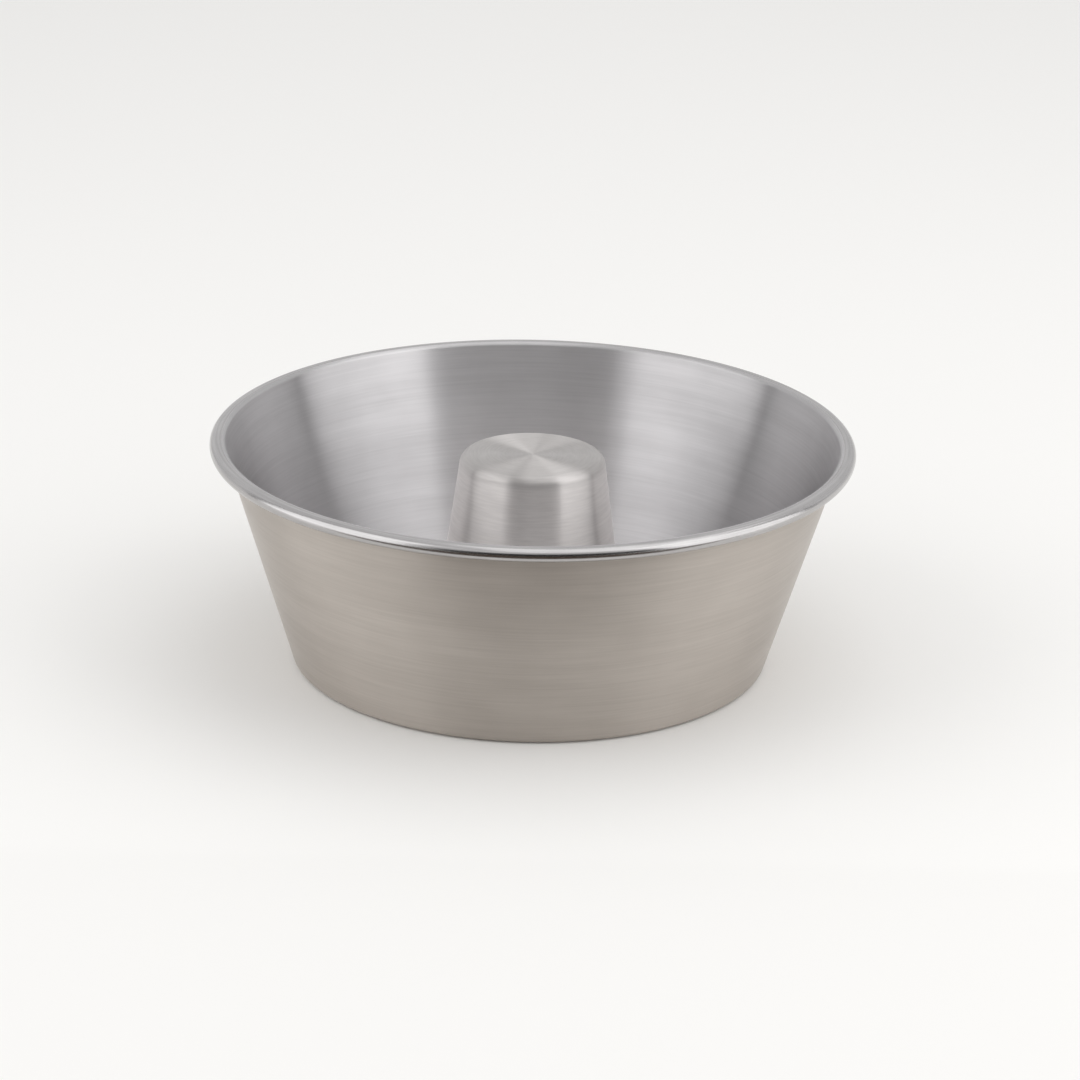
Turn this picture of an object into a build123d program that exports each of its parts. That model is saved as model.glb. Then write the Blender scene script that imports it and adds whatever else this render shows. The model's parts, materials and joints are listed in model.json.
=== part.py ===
from build123d import *
import os

# Ring cake pan in spun aluminium sheet: a flared pan body with a wired rim, and a
# closed centre tube that is clinched into the hole in its base. Millimetres, +Z up,
# origin on the table at the middle of the base. Every piece is turned about Z.

# Pan body. The outer face is the one that shows from outside and from below.
rim_diameter = 254.0          # over the rolled rim
pan_height = 91.0             # table to the top of the rim
base_diameter = 188.0         # outer face, where wall and base would meet in a corner
body_sheet = 0.8
base_corner_radius = 3.0      # outer face
flare_radius = 1.2            # outer face, where the wall turns out into the rim

# Wired rim.
wire_diameter = 3.4
wire_clearance = 0.15         # all round the wire, inside the curl
curl_wrap = 262.0             # degrees of sheet round the wire, from its top outwards
curl_gap = 0.5                # between the curl and the wall, level with the wire

# Raised seat in the middle of the base, which keeps the clinch off the table.
seat_rise = 2.4               # underside of the seat above the table
seat_margin = 3.4             # flat of the seat beyond the clinched flange
seat_slope = 2.0              # width of the step from the seat down to the base
seat_bend_radius = 1.2        # outer face, on both bends of the step

# Centre tube.
tube_top_diameter = 56.6      # outer face, where side and top would meet in a corner
tube_foot_diameter = 78.2     # outer face, where side and seat would meet in a corner
tube_drop = 7.0               # top of the tube below the top of the rim
tube_sheet = 0.8
tube_shoulder_radius = 4.0    # outer face
tube_foot_radius = 1.1        # outer face, where the side turns in under itself
neck_step = 3.0               # the neck in the hole is this much inside the foot
clinch_width = 3.0            # flange under the base, out from the neck
clinch_clearance = 0.02       # between the tube's folds and the base, above and below

# Worked out from the sizes above.
base_radius = base_diameter / 2
flange_underside = pan_height - body_sheet
curl_radius = wire_diameter / 2 + wire_clearance
bead_radius = curl_radius + body_sheet
wire_ring_radius = rim_diameter / 2 - bead_radius
wire_height = pan_height - bead_radius
wall_radius = wire_ring_radius - bead_radius - curl_gap      # outer face, level with the wire
wall_run = (wall_radius - base_radius) / wire_height
flare_corner = base_radius + wall_run * flange_underside

neck_radius = tube_foot_diameter / 2 - neck_step
neck_bend_radius = body_sheet / 2            # folds round the edge of the hole
hole_radius = neck_radius + neck_bend_radius
clinch_radius = neck_radius + clinch_width
clinch_height = seat_rise - clinch_clearance
seat_radius = clinch_radius + seat_margin
foot_height = seat_rise + body_sheet + clinch_clearance
tube_top = pan_height - tube_drop


def other_face(corners, bends, thickness):
    """Corners and bend radii of a folded sheet's other face, to the left of its first face."""
    points = [Vector(*corner) for corner in corners]
    sides = [(b - a).normalized().rotate(Axis.Z, 90) * thickness for a, b in zip(points, points[1:])]
    moved = [points[0] + sides[0]]
    radii = []
    for point, bend, before, after in zip(points[1:], bends, sides, sides[1:]):
        both = before + after
        moved.append(point + both * (2 * thickness**2 / both.dot(both)))
        left_turn = before.cross(after).Z > 0
        radii.append(bend - thickness if left_turn else bend + thickness)
    moved.append(points[-1] + sides[-1])
    return moved, radii


def turned(*outline):
    """The area inside a closed outline of radius and height, turned about Z."""
    return revolve(Plane.XZ * make_face(outline), Axis.Z)


def turned_sheet(corners, bends, thickness):
    """Folded sheet turned about Z. Its thickness lies to the left of the line of corners."""
    far_corners, far_bends = other_face(corners, bends, thickness)
    return turned(
        FilletPolyline(*corners, radius=bends),
        FilletPolyline(*far_corners, radius=far_bends),
        Line(corners[0], far_corners[0]),
        Line(corners[-1], far_corners[-1]),
    )


def turned_curl(radius, height, inside, thickness, wrap):
    """Sheet curled about a circle of its own section, from the top of that circle outwards."""
    inner = CenterArc((radius, height), inside, 90, -wrap)
    outer = CenterArc((radius, height), inside + thickness, 90, -wrap)
    return turned(inner, outer, Line(inner @ 0, outer @ 0), Line(inner @ 1, outer @ 1))


def pan_body():
    """Base with its raised seat and hole, flared wall, and the rim curled round the wire."""
    corners = [
        (hole_radius, seat_rise),
        (seat_radius, seat_rise),
        (seat_radius + seat_slope, 0),
        (base_radius, 0),
        (flare_corner, flange_underside),
        (wire_ring_radius, flange_underside),
    ]
    bends = [seat_bend_radius, seat_bend_radius, base_corner_radius, flare_radius]
    shell = turned_sheet(corners, bends, body_sheet)
    return shell + turned_curl(wire_ring_radius, wire_height, curl_radius, body_sheet, curl_wrap)


def center_tube():
    """Closed cone whose open end folds in onto the seat, down through the hole and out below."""
    corners = [
        (clinch_radius, clinch_height),
        (neck_radius, clinch_height),
        (neck_radius, foot_height),
        (tube_foot_diameter / 2, foot_height),
        (tube_top_diameter / 2, tube_top),
        (0, tube_top),
    ]
    bends = [neck_bend_radius, neck_bend_radius, tube_foot_radius, tube_shoulder_radius]
    return turned_sheet(corners, bends, tube_sheet)


def rim_wire():
    """Steel hoop inside the curl of the rim."""
    return Pos(0, 0, wire_height) * Torus(wire_ring_radius, wire_diameter / 2)


os.makedirs("parts", exist_ok=True)
export_step(pan_body(), "parts/pan_body.step")
export_step(center_tube(), "parts/center_tube.step")
export_step(rim_wire(), "parts/rim_wire.step")
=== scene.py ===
import json
import math

import bmesh
import bpy
from mathutils import Matrix, Vector

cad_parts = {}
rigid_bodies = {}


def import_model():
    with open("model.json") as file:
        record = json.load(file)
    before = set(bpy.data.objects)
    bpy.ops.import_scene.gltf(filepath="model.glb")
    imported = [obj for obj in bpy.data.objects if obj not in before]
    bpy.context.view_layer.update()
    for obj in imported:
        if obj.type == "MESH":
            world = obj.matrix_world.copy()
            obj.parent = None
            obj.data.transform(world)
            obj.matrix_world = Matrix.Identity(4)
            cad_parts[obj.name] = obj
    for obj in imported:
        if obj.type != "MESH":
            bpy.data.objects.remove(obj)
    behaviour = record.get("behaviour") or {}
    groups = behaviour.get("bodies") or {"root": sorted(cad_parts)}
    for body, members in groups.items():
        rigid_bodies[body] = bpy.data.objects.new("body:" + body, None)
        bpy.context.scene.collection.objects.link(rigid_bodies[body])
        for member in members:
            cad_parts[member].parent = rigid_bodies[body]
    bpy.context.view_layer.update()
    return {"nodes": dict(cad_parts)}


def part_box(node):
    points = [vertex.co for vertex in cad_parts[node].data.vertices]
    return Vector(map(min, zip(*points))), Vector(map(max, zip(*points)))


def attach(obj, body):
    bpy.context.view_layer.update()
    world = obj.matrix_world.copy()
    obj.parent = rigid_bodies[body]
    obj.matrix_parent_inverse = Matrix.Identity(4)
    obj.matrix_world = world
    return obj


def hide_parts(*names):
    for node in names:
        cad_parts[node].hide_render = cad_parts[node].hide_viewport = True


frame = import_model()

mm = 0.001
touching = 0.002 * mm               # points nearer than this are one
sharpEdge = math.radians(60)        # a cut edge turns by more than this
smoothUpTo = math.radians(35)

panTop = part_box("pan_body")[1].z
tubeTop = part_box("center_tube")[1].z
wireLow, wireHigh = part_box("rim_wire")


def linear(hexColour):  # "#rrggbb" in sRGB to a linear colour
    parts = [int(hexColour[i:i + 2], 16) / 255 for i in (1, 3, 5)]
    return [c / 12.92 if c <= 0.04045 else ((c + 0.055) / 1.055) ** 2.4 for c in parts] + [1]


def addNode(tree, kind, settings=None, links=None):
    node = tree.nodes.new(kind)
    for key, value in (settings or {}).items():
        if isinstance(key, str) and hasattr(node, key):
            setattr(node, key, value)
        else:
            node.inputs[key].default_value = value
    for key, source in (links or {}).items():
        tree.links.new(source, node.inputs[key])
    return node


def pickVertices(test):  # in edit mode, selects what passes the test and nothing else
    mesh = bpy.context.edit_object.data
    shape = bmesh.from_edit_mesh(mesh)
    for vertex in shape.verts:
        vertex.select_set(test(vertex.co))
    shape.select_flush(True)
    bmesh.update_edit_mesh(mesh)


def pickFaces(test):
    mesh = bpy.context.edit_object.data
    shape = bmesh.from_edit_mesh(mesh)
    for face in shape.faces:
        face.select_set(test(face))
    bmesh.update_edit_mesh(mesh)


def startOutline(name, corner):  # one vertex at the outline's first corner
    bpy.ops.object.select_all(action="DESELECT")
    bpy.ops.mesh.primitive_plane_add(size=mm)
    piece = bpy.context.object
    piece.name = piece.data.name = name
    bpy.ops.object.mode_set(mode="EDIT")
    bpy.ops.mesh.select_mode(type="VERT")
    bpy.ops.mesh.merge(type="CENTER")
    bpy.ops.transform.translate(value=(corner[0], 0, corner[1]))
    return piece


def extrudeOutline(corners):  # corners are (radius, height, bend radius), joined by straight runs
    for (r0, z0, _), (r1, z1, _) in zip(corners, corners[1:]):
        bpy.ops.mesh.extrude_vertices_move(TRANSFORM_OT_translate={"value": (r1 - r0, 0, z1 - z0)})


def bendCorners(corners, arcStep):  # rounds each corner to its radius
    for before, corner, after in zip(corners, corners[1:], corners[2:]):
        wayIn = Vector((corner[0] - before[0], corner[1] - before[1]))
        wayOut = Vector((after[0] - corner[0], after[1] - corner[1]))
        turn = wayIn.angle(wayOut)
        place = Vector((corner[0], 0, corner[1]))
        pickVertices(lambda co: (co - place).length < touching)
        bpy.ops.mesh.bevel(
            affect="VERTICES", offset=corner[2] * math.tan(turn / 2), profile=0.5,
            segments=max(3, round(turn / arcStep)), clamp_overlap=False,
        )


def turnAboutZ(steps, hollow):  # the outline once round the axis, with its seam and pole closed
    bpy.ops.mesh.select_all(action="SELECT")
    bpy.ops.mesh.spin(steps=steps, angle=2 * math.pi, center=(0, 0, 0), axis=(0, 0, 1))
    bpy.ops.mesh.select_all(action="SELECT")
    bpy.ops.mesh.remove_doubles(threshold=touching)
    bpy.ops.mesh.normals_make_consistent(inside=hollow)  # an open bowl is taken to face its hollow


def giveThickness(piece, thickness, edgeRound):  # the sheet grows inwards from the outer face
    bpy.ops.object.mode_set(mode="OBJECT")
    wall = piece.modifiers.new("sheet", "SOLIDIFY")
    wall.thickness = thickness
    wall.offset = -1
    wall.use_even_offset = True
    wall.material_offset = 1
    wall.material_offset_rim = 1
    bpy.ops.object.modifier_apply(modifier=wall.name)
    edge = piece.modifiers.new("cut edge", "BEVEL")
    edge.width = edgeRound
    edge.segments = 2
    edge.limit_method = "ANGLE"
    edge.angle_limit = sharpEdge
    bpy.ops.object.modifier_apply(modifier=edge.name)
    bpy.ops.object.shade_smooth_by_angle(angle=smoothUpTo)


def coverSlot(piece, slot, test):  # gives the faces that pass the test one of the piece's materials
    bpy.ops.object.mode_set(mode="EDIT")
    bpy.ops.mesh.select_mode(type="FACE")
    pickFaces(test)
    piece.active_material_index = slot
    bpy.ops.object.material_slot_assign()
    bpy.ops.object.mode_set(mode="OBJECT")


def spunAluminium(name, look):
    # Aluminium sheet turned on a lathe: the tool and the polishing cloth leave fine lines that
    # run round the axis. Across the lines light spreads wide, along them it stays sharp, so a
    # lamp draws a bright band from rim to base and a fan on a flat top. The real lines lie
    # about 0.2 mm apart, too fine to show, so lineSpacing draws them as coarse as they need.
    # All sizes in a look are in mm.
    lineWander = 3                  # how often a line changes on its way round
    bandWander = 0.8
    toneReach = 0.35                # noise this far from its middle is quite dull or quite bright
    quarterTurn = 0.25              # light spreads across the lines, not along them
    material = bpy.data.materials.new(name)
    material.use_nodes = True
    tree = material.node_tree
    tree.nodes.clear()
    place = addNode(tree, "ShaderNodeTexCoord").outputs["Object"]
    sized = addNode(tree, "ShaderNodeVectorMath", {"operation": "SCALE", "Scale": 1 / mm}, {0: place})
    outward = addNode(
        tree, "ShaderNodeVectorMath", {"operation": "MULTIPLY", 1: (1, 1, 0)}, {0: sized.outputs[0]}
    )
    around = addNode(
        tree, "ShaderNodeVectorMath", {"operation": "CROSS_PRODUCT", 0: (0, 0, 1)},
        {1: outward.outputs[0]},
    )
    radius = addNode(tree, "ShaderNodeVectorMath", {"operation": "LENGTH"}, {0: outward.outputs[0]})
    height = addNode(tree, "ShaderNodeSeparateXYZ", links={0: sized.outputs[0]})
    bearing = addNode(tree, "ShaderNodeVectorMath", {"operation": "NORMALIZE"}, {0: outward.outputs[0]})
    bearingParts = addNode(tree, "ShaderNodeSeparateXYZ", links={0: bearing.outputs[0]})

    def lines(spacing, wander):  # noise drawn out round the axis
        times = {"operation": "MULTIPLY", 1: wander}
        over = {"operation": "DIVIDE", 1: spacing}
        east = addNode(tree, "ShaderNodeMath", times, {0: bearingParts.outputs["X"]})
        north = addNode(tree, "ShaderNodeMath", times, {0: bearingParts.outputs["Y"]})
        across = addNode(tree, "ShaderNodeMath", over, {0: radius.outputs["Value"]})
        along = addNode(tree, "ShaderNodeMath", over, {0: height.outputs["Z"]})
        spot = addNode(
            tree, "ShaderNodeCombineXYZ",
            links={"X": east.outputs[0], "Y": north.outputs[0], "Z": across.outputs[0]},
        )
        return addNode(
            tree, "ShaderNodeTexNoise",
            {"noise_dimensions": "4D", "Scale": 1, "Detail": 2, "Roughness": 0.6},
            {"Vector": spot.outputs[0], "W": along.outputs[0]},
        ).outputs["Fac"]

    fine = lines(look["lineSpacing"], lineWander)
    bands = lines(look["bandSpacing"], bandWander)
    mottle = addNode(
        tree, "ShaderNodeTexNoise",
        {"Scale": 1 / look["mottleSize"], "Detail": 3, "Roughness": 0.5},
        {"Vector": sized.outputs[0]},
    ).outputs["Fac"]
    patches = addNode(tree, "ShaderNodeMath", {"operation": "ADD"}, {0: bands, 1: mottle})
    both = addNode(
        tree, "ShaderNodeMath", {"operation": "MULTIPLY_ADD", 1: look["lineShare"]},
        {0: fine, 2: patches.outputs[0]},
    )
    middle = 1 + look["lineShare"] / 2  # noise keeps close to a half
    tone = addNode(
        tree, "ShaderNodeMapRange",
        {"From Min": middle - toneReach, "From Max": middle + toneReach},
        {"Value": both.outputs[0]},
    )
    colour = addNode(
        tree, "ShaderNodeMix",
        {"data_type": "RGBA", 6: linear(look["dullColour"]), 7: linear(look["brightColour"])},
        {0: tone.outputs[0]},
    ).outputs[2]
    if "paintedTopShade" in look:  # painted shade: the colour is multiplied darker towards the tube's top, which the lamps light more than its side
        start, end, shade = look["paintedTopShade"]
        rise = addNode(
            tree, "ShaderNodeMapRange",
            {"interpolation_type": "SMOOTHSTEP", "From Min": start, "From Max": end},
            {"Value": height.outputs["Z"]},
        )
        colour = addNode(
            tree, "ShaderNodeMix", {"data_type": "RGBA", "blend_type": "MULTIPLY", 7: linear(shade)},
            {0: rise.outputs[0], 6: colour},
        ).outputs[2]
    roughness = addNode(
        tree, "ShaderNodeMapRange", {"To Min": look["roughest"], "To Max": look["smoothest"]},
        {"Value": tone.outputs[0]},
    )
    relief = addNode(
        tree, "ShaderNodeBump",
        {"Strength": look["reliefStrength"], "Distance": look["relief"] * mm},
        {"Height": fine},
    )
    surface = addNode(
        tree, "ShaderNodeBsdfPrincipled",
        {"Metallic": 1, "Anisotropic": look["spread"], "Anisotropic Rotation": quarterTurn},
        {
            "Base Color": colour,
            "Roughness": roughness.outputs[0],
            "Normal": relief.outputs[0],
            "Tangent": around.outputs[0],
        },
    )
    addNode(tree, "ShaderNodeOutputMaterial", links={"Surface": surface.outputs[0]})
    return material


def drawnSteelWire(name, look):
    # Galvanised steel drawn through a die: a dull, even shine, and greys that run into each
    # other every few mm, as zinc does.
    material = bpy.data.materials.new(name)
    material.use_nodes = True
    tree = material.node_tree
    tree.nodes.clear()
    place = addNode(tree, "ShaderNodeTexCoord").outputs["Object"]
    sized = addNode(tree, "ShaderNodeVectorMath", {"operation": "SCALE", "Scale": 1 / mm}, {0: place})
    greys = addNode(
        tree, "ShaderNodeTexNoise", {"Scale": 1 / look["greySize"], "Detail": 4},
        {"Vector": sized.outputs[0]},
    )
    colour = addNode(
        tree, "ShaderNodeMix",
        {"data_type": "RGBA", 6: linear(look["dullColour"]), 7: linear(look["brightColour"])},
        {0: greys.outputs["Fac"]},
    )
    surface = addNode(
        tree, "ShaderNodeBsdfPrincipled", {"Metallic": 1, "Roughness": look["roughness"]},
        {"Base Color": colour.outputs[2]},
    )
    addNode(tree, "ShaderNodeOutputMaterial", links={"Surface": surface.outputs[0]})
    return material


# Base, wall and rolled rim are one sheet.
panBody = {
    "sheet": 0.8 * mm,
    "baseRadius": 94 * mm,          # outer corner of wall and base
    "baseCorner": 3 * mm,           # bend radii are on the outer face
    "flare": 1.2 * mm,
    "wireClearance": 0.15 * mm,
    "curlGap": 0.5 * mm,            # curl to wall, level with the wire
    "curlWrap": math.radians(262),
    "seatRise": 2.4 * mm,           # raised ring that carries the tube
    "seatRadius": 42.5 * mm,
    "seatSlope": 2 * mm,
    "seatBend": 1.2 * mm,
    "holeRadius": 36.5 * mm,
    "turnSteps": 288,
    "arcStep": math.radians(7),
    "edgeRound": 0.12 * mm,
    "inside": {                     # cooking face, polished: bright and dark stripes, rim to base
        "dullColour": "#c2c0c1", "brightColour": "#cfcdce",
        "smoothest": 0.32, "roughest": 0.35, "spread": 1.0,
        "lineSpacing": 0.8, "lineShare": 1.0, "bandSpacing": 9, "mottleSize": 30,
        "relief": 0.01, "reliefStrength": 0.4,
    },
    "outside": {                    # left as it was spun: duller, with soft stripes; its darker, warmer grey is a painted reflection of a warm table in shade, since inside and outside are one sheet
        "dullColour": "#bbb4ad", "brightColour": "#c7c0b9",
        "smoothest": 0.4, "roughest": 0.44, "spread": 0.85,
        "lineSpacing": 0.8, "lineShare": 1.0, "bandSpacing": 12, "mottleSize": 40,
        "relief": 0.01, "reliefStrength": 0.4,
    },
    "rim": {                        # burnished by the rolling tool: small sharp highlights; its greys, darker than the inside's on the same sheet, are painted shade that dims those highlights
        "dullColour": "#b3b1b1", "brightColour": "#c3c1c1",
        "smoothest": 0.22, "roughest": 0.26, "spread": 0.4,
        "lineSpacing": 0.6, "lineShare": 2, "bandSpacing": 4, "mottleSize": 20,
        "relief": 0.01, "reliefStrength": 0.4,
    },
}


def makePanBody(size):
    wireHeight = (wireLow.z + wireHigh.z) / 2
    wireRadius = (wireHigh.z - wireLow.z) / 2
    ringRadius = wireHigh.x - wireRadius
    curlRadius = wireRadius + size["wireClearance"]
    beadRadius = curlRadius + size["sheet"]
    underRim = panTop - size["sheet"]
    wallRadius = ringRadius - beadRadius - size["curlGap"]
    lean = (wallRadius - size["baseRadius"]) / wireHeight
    corners = [
        (size["holeRadius"], size["seatRise"], 0),
        (size["seatRadius"], size["seatRise"], size["seatBend"]),
        (size["seatRadius"] + size["seatSlope"], 0, size["seatBend"]),
        (size["baseRadius"], 0, size["baseCorner"]),
        (size["baseRadius"] + lean * underRim, underRim, size["flare"]),
        (ringRadius, underRim, 0),
    ]
    piece = startOutline("panBody", corners[0])
    extrudeOutline(corners)
    bpy.ops.mesh.spin(
        steps=round(size["curlWrap"] / size["arcStep"]), angle=size["curlWrap"],
        center=(ringRadius, 0, wireHeight), axis=(0, -1, 0),
    )
    bendCorners(corners, size["arcStep"])
    turnAboutZ(size["turnSteps"], True)
    piece.data.materials.append(spunAluminium("spunAluminiumOutside", size["outside"]))
    piece.data.materials.append(spunAluminium("spunAluminiumInside", size["inside"]))
    piece.data.materials.append(spunAluminium("burnishedAluminiumRim", size["rim"]))
    giveThickness(piece, size["sheet"], size["edgeRound"])

    rimStart = corners[4][0] + size["flare"] / 2
    coverSlot(piece, 2, lambda face: face.calc_center_median().xy.length > rimStart)
    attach(piece, "root")
    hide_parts("pan_body")
    print("pan body:", len(piece.data.polygons), "faces")
    return piece


# A drawn cone, clinched round the hole in the base.
centerTube = {
    "sheet": 0.8 * mm,
    "topRadius": 28.3 * mm,         # where side and top would meet
    "shoulder": 4 * mm,
    "footRadius": 39.1 * mm,        # where side and seat would meet
    "footBend": 1.1 * mm,
    "footHeight": 3.22 * mm,        # on the seat
    "neckRadius": 36.1 * mm,
    "neckBend": 0.4 * mm,
    "clinchRadius": 39.1 * mm,
    "clinchHeight": 2.38 * mm,
    "turnSteps": 192,
    "arcStep": math.radians(9),
    "edgeRound": 0.12 * mm,
    "side": {                       # polished: bright, with one dark stripe in front
        "dullColour": "#dfdbd9", "brightColour": "#ebe7e5",
        "smoothest": 0.36, "roughest": 0.39, "spread": 1.0,
        "lineSpacing": 0.8, "lineShare": 1.5, "bandSpacing": 8, "mottleSize": 25,
        "relief": 0.01, "reliefStrength": 0.4,
        "paintedTopShade": (tubeTop / mm - 6, tubeTop / mm - 1, "#e2e2e2"),  # start, end, painted shade
    },
    "hollow": {                     # never polished: an even dull grey
        "dullColour": "#a8a7a5", "brightColour": "#bbbab8",
        "smoothest": 0.42, "roughest": 0.5, "spread": 0.7,
        "lineSpacing": 1.2, "lineShare": 1.5, "bandSpacing": 8, "mottleSize": 20,
        "relief": 0.03, "reliefStrength": 0.4,
    },
}


def makeCenterTube(size):
    corners = [
        (0, tubeTop, 0),
        (size["topRadius"], tubeTop, size["shoulder"]),
        (size["footRadius"], size["footHeight"], size["footBend"]),
        (size["neckRadius"], size["footHeight"], size["neckBend"]),
        (size["neckRadius"], size["clinchHeight"], size["neckBend"]),
        (size["clinchRadius"], size["clinchHeight"], 0),
    ]
    piece = startOutline("centerTube", corners[0])
    extrudeOutline(corners)
    bendCorners(corners, size["arcStep"])
    turnAboutZ(size["turnSteps"], False)
    piece.data.materials.append(spunAluminium("spunAluminiumTube", size["side"]))
    piece.data.materials.append(spunAluminium("drawnAluminiumHollow", size["hollow"]))
    giveThickness(piece, size["sheet"], size["edgeRound"])
    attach(piece, "root")
    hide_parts("center_tube")
    print("centre tube:", len(piece.data.polygons), "faces")
    return piece


makePanBody(panBody)
makeCenterTube(centerTube)

# The wire in the rim stays as it was made.
rimWire = {"dullColour": "#8b8d90", "brightColour": "#a9abad", "greySize": 3, "roughness": 0.45}
wire = frame["nodes"]["rim_wire"]
wire.data.materials.clear()
wire.data.materials.append(drawnSteelWire("drawnSteelWire", rimWire))
print("rim wire finished")

# Metres and watts. Lamps and cards stand round the pan, at a bearing from the camera's side.
studio = {
    "floorSize": 14,
    "floorDrop": 0.2 * mm,          # so that floor and base don't share a plane
    "floorColour": "#f4f3f1",
    "room": "#e0e0e0",
    "softboxLift": 0.02,            # clear of the floor
    "softboxes": {                  # bearing, distance, width, height, power
        "left": (-71.5, 1.1, 1.28, 1.8, 6.1),
        "right": (73.5, 1.1, 1.25, 1.8, 6.3),
    },
    "overhead": {"right": 0.5, "height": 1.7, "width": 1.5, "depth": 2.4, "power": 6},
    "flags": {                      # black cards: bearing, distance, width, height
        "front": (6, 2.4, 3.9, 1.4),
        "leftGap": (-105, 1.1, 0.09, 1.8),
        "rightGap": (106, 1.1, 0.09, 1.8),
    },
    "apron": (0.2, 1.1, 2.0),       # brown cloth lying in front: nearest edge, width, depth
    "apronLift": 0.002,
    "apronColour": "#453629",
    "flagColour": "#161616",
}


def onBearing(bearing, distance, height):  # a place round the pan, 0 degrees being the camera's side
    turn = math.radians(bearing)
    return Vector((distance * math.sin(turn), -distance * math.cos(turn), height))


def paint(name, colour, roughness):
    material = bpy.data.materials.new(name)
    material.use_nodes = True
    surface = material.node_tree.nodes["Principled BSDF"]
    surface.inputs["Base Color"].default_value = linear(colour)
    surface.inputs["Roughness"].default_value = roughness
    return material


def makeFloor(look):
    bpy.ops.object.select_all(action="DESELECT")
    bpy.ops.mesh.primitive_plane_add(size=look["floorSize"], location=(0, 0, -look["floorDrop"]))
    floor = bpy.context.object
    floor.name = "floor"
    floor.data.materials.append(paint("mattBoard", look["floorColour"], 0.9))


def addFlag(name, size, place, rotation, material):  # a card that only reflections see
    bpy.ops.mesh.primitive_plane_add(size=1, location=place, rotation=rotation)
    flag = bpy.context.object
    flag.name = name
    flag.scale = (*size, 1)
    flag.data.materials.append(material)
    flag.visible_camera = False
    flag.visible_diffuse = False
    flag.visible_shadow = False


def makeLamps(look):
    for name, (bearing, distance, width, height, power) in look["softboxes"].items():
        bpy.ops.object.light_add(
            type="AREA", location=onBearing(bearing, distance, height / 2 + look["softboxLift"]),
            rotation=(math.pi / 2, 0, math.radians(bearing)),
        )
        lamp = bpy.context.object
        lamp.name = name + "Softbox"
        lamp.data.shape = "RECTANGLE"
        lamp.data.size = width
        lamp.data.size_y = height
        lamp.data.energy = power
    top = look["overhead"]
    bpy.ops.object.light_add(type="AREA", location=(top["right"], 0, top["height"]))
    lamp = bpy.context.object
    lamp.name = "overheadSoftbox"
    lamp.data.shape = "RECTANGLE"
    lamp.data.size = top["width"]
    lamp.data.size_y = top["depth"]
    lamp.data.energy = top["power"]

    black = paint("blackCloth", look["flagColour"], 1)  # flags give the metal its dark stripes
    for name, (bearing, distance, width, height) in look["flags"].items():
        addFlag(
            name + "Flag", (width, height), onBearing(bearing, distance, height / 2),
            (math.pi / 2, 0, math.radians(bearing)), black,
        )
    nearest, width, depth = look["apron"]
    brown = paint("brownCloth", look["apronColour"], 1)
    middle = (0, -nearest - depth / 2, look["apronLift"])
    addFlag("apron", (width, depth), middle, (0, 0, 0), brown)

    world = bpy.data.worlds.new("room")
    bpy.context.scene.world = world
    world.use_nodes = True
    world.node_tree.nodes["Background"].inputs["Color"].default_value = linear(look["room"])


view = {
    "lens": 150,                    # mm
    "filmBack": 36,
    "elevation": 19.14,             # degrees above the rim
    "distance": 1.771,              # to the middle of the rim
    "aimRight": 0.122,              # degrees, so that the pan stands a little left
    "aimDown": 1.306,               # and high in the frame
    "roll": 1.2,
}


def makeCamera(shot):
    rise = math.radians(shot["elevation"])
    spot = Vector((0, -math.cos(rise), math.sin(rise))) * shot["distance"]
    spot.z += panTop
    bpy.ops.object.camera_add(location=spot)
    camera = bpy.context.object
    turn = Matrix.Rotation(math.radians(-shot["aimRight"]), 4, "Z")
    tilt = Matrix.Rotation(math.radians(90 - shot["elevation"] - shot["aimDown"]), 4, "X")
    roll = Matrix.Rotation(math.radians(shot["roll"]), 4, "Z")
    camera.rotation_euler = (turn @ tilt @ roll).to_euler()
    camera.data.lens = shot["lens"]
    camera.data.sensor_width = shot["filmBack"]
    bpy.context.scene.camera = camera


makeFloor(studio)
makeLamps(studio)
makeCamera(view)
bpy.context.scene.view_settings.view_transform = "Standard"  # colours as the hex values say
print("studio ready")
